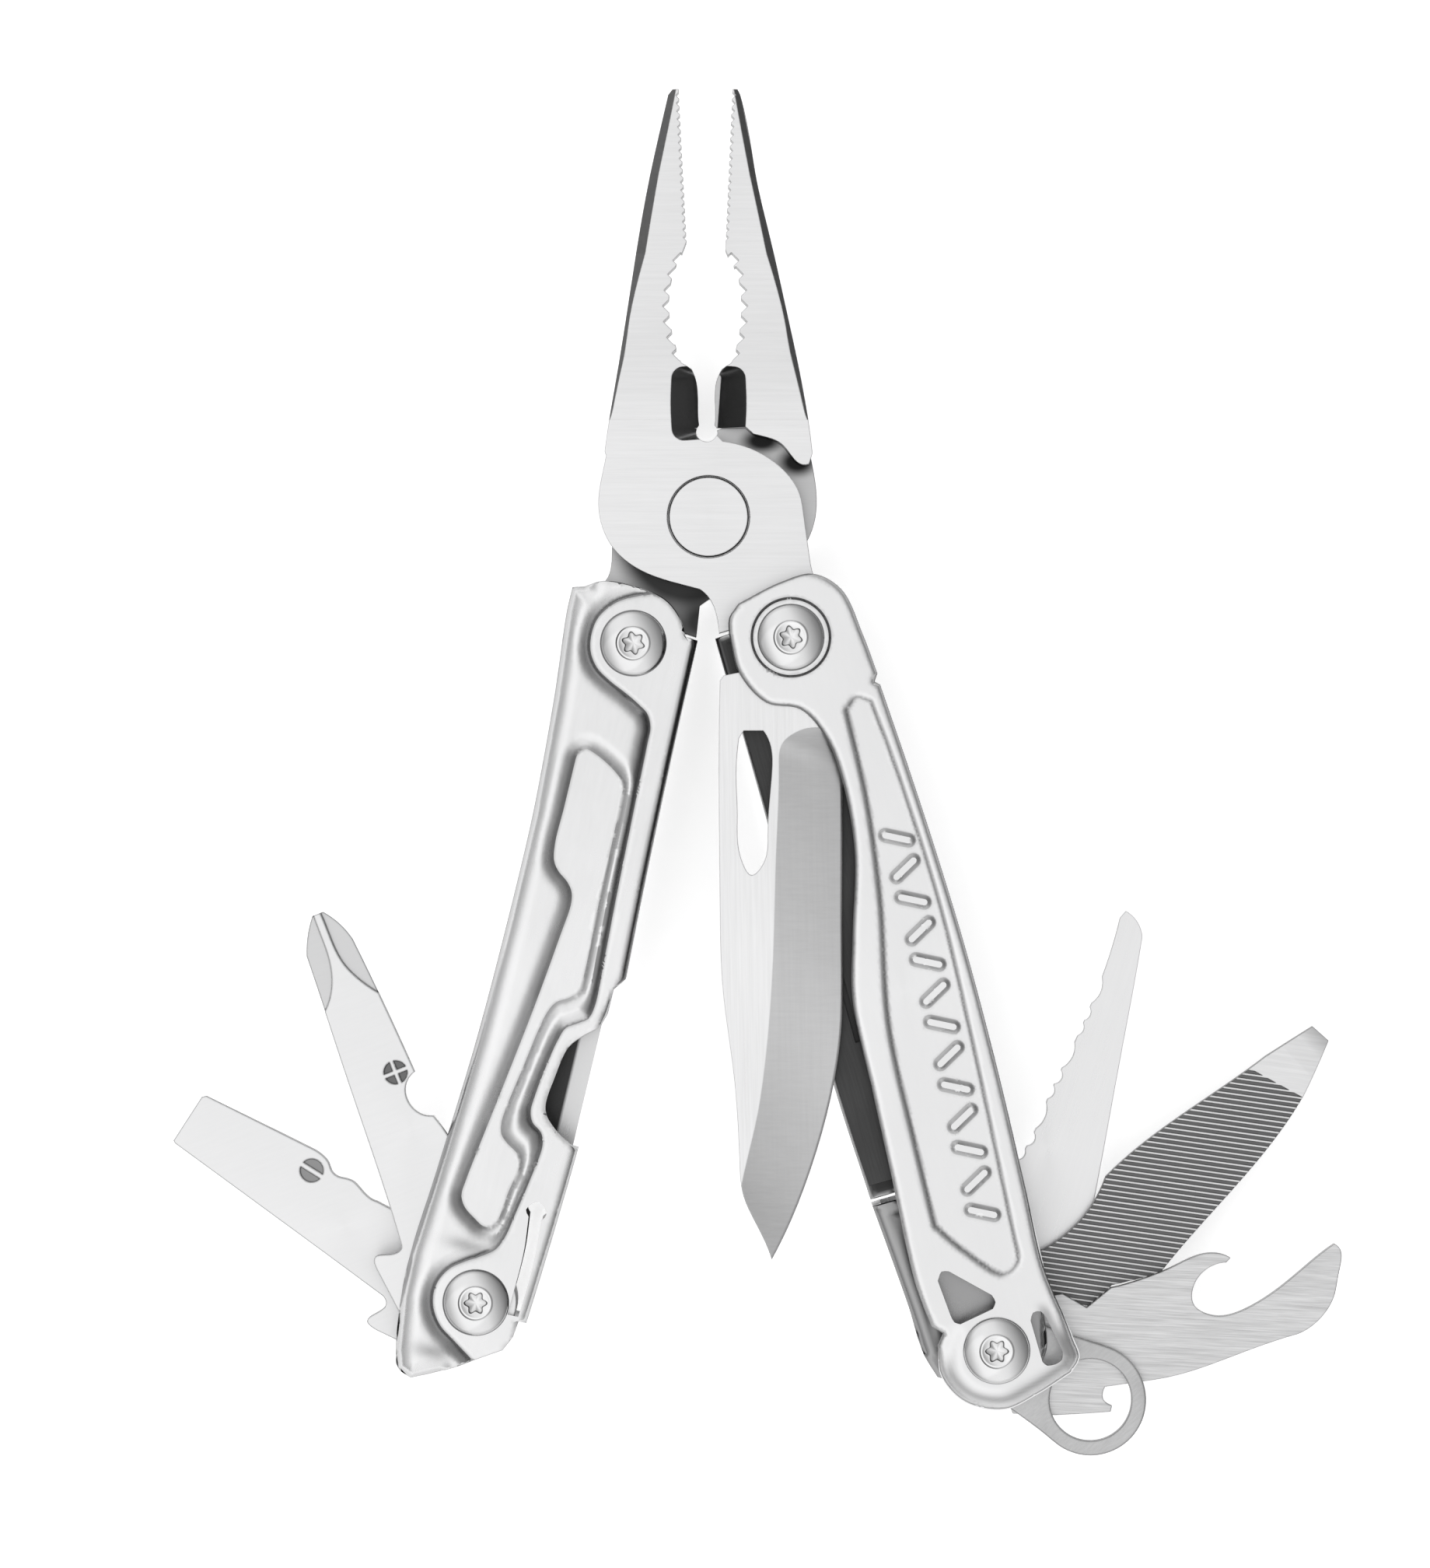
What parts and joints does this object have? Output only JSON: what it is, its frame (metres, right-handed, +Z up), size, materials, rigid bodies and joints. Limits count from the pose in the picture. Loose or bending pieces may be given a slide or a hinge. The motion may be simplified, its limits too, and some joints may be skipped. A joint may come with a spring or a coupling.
{
  "type": "multi tool",
  "caption": "Folding pliers multi tool with two hinged steel handles, a front knife, fanned drivers, serrated blade, file, can opener and lanyard ring.",
  "frame": {"origin": "centre of the bounding box's bottom face, the plane the tool lies on", "axes": "+Y toward the jaw tips, +X toward the handle that carries the knife, +Z up through the thickness"},
  "size_m": [0.1331, 0.1552, 0.0179],
  "materials": {
    "jaw_steel": "satin brushed",
    "pin_steel": "satin",
    "handle_steel": "satin, polished edges",
    "cover_steel": "bead blasted satin",
    "screw_steel": "polished dome",
    "blade_steel": "brushed, ground bevel",
    "tool_steel": "brushed",
    "file_steel": "cut ridges",
    "washer_steel": "plain"
  },
  "bodies": {
    "front_jaw": {"front_jaw": "jaw_steel", "jaw_pivot_pin": "pin_steel"},
    "rear_jaw": {"rear_jaw": "jaw_steel"},
    "left_handle": {"left_channel": "handle_steel", "left_head_post": "screw_steel", "left_head_screw": "screw_steel", "left_tool_post": "screw_steel", "left_tool_screw": "screw_steel", "left_tang_spacer": "washer_steel", "left_tool_spacer": "washer_steel"},
    "right_handle": {"right_channel": "handle_steel", "right_cover": "cover_steel", "liner_lock": "blade_steel", "knife_stop_pin": "pin_steel", "right_head_post": "screw_steel", "right_head_screw": "screw_steel", "right_tool_post": "screw_steel", "right_tool_screw": "screw_steel", "right_tang_spacer": "washer_steel", "knife_washers": "washer_steel", "right_tool_washer": "washer_steel", "cover_spacer": "washer_steel"},
    "knife": {"knife_blade": "blade_steel"},
    "phillips": {"phillips_driver": "tool_steel"},
    "flat_driver": {"flat_driver": "tool_steel"},
    "serrated": {"serrated_blade": "blade_steel"},
    "file": {"file": "file_steel"},
    "opener": {"can_opener": "tool_steel"},
    "ring": {"lanyard_ring": "tool_steel"}
  },
  "joints": [
    {"name": "jaw_pivot", "type": "hinge", "parent": "front_jaw", "child": "rear_jaw", "pos_m": [-0.00528, 0.02885, 0.0065], "axis": [0, 0, 1], "range_deg": [-25, 6.8]},
    {"name": "left_handle_fold", "type": "hinge", "parent": "rear_jaw", "child": "left_handle", "pos_m": [-0.0138, 0.01449, 0.0065], "axis": [0, 0, -1], "range_deg": [0, 168.4]},
    {"name": "right_handle_fold", "type": "hinge", "parent": "front_jaw", "child": "right_handle", "pos_m": [0.004, 0.01508, 0.0065], "axis": [0, 0, 1], "range_deg": [0, 167.1]},
    {"name": "knife_fold", "type": "hinge", "parent": "right_handle", "child": "knife", "pos_m": [0.004, 0.01508, 0.0142], "axis": [0, 0, 1], "range_deg": [-162, 17]},
    {"name": "phillips_fold", "type": "hinge", "parent": "left_handle", "child": "phillips", "pos_m": [-0.03163, -0.06014, 0.0098], "axis": [0, 0, -1], "range_deg": [-127, 40.3]},
    {"name": "flat_driver_fold", "type": "hinge", "parent": "left_handle", "child": "flat_driver", "pos_m": [-0.03163, -0.06014, 0.0034], "axis": [0, 0, -1], "range_deg": [-93, 76.5]},
    {"name": "serrated_fold", "type": "hinge", "parent": "right_handle", "child": "serrated", "pos_m": [0.02717, -0.06524, 0.00315], "axis": [0, 0, 1], "range_deg": [-135, 39.6]},
    {"name": "file_fold", "type": "hinge", "parent": "right_handle", "child": "file", "pos_m": [0.02717, -0.06524, 0.0051], "axis": [0, 0, 1], "range_deg": [-107, 68.1]},
    {"name": "opener_fold", "type": "hinge", "parent": "right_handle", "child": "opener", "pos_m": [0.02717, -0.06524, 0.00725], "axis": [0, 0, 1], "range_deg": [-75, 99.6]},
    {"name": "ring_fold", "type": "hinge", "parent": "right_handle", "child": "ring", "pos_m": [0.02717, -0.06524, 0.00905], "axis": [0, 0, 1], "range_deg": [-40, 135.4]}
  ]
}
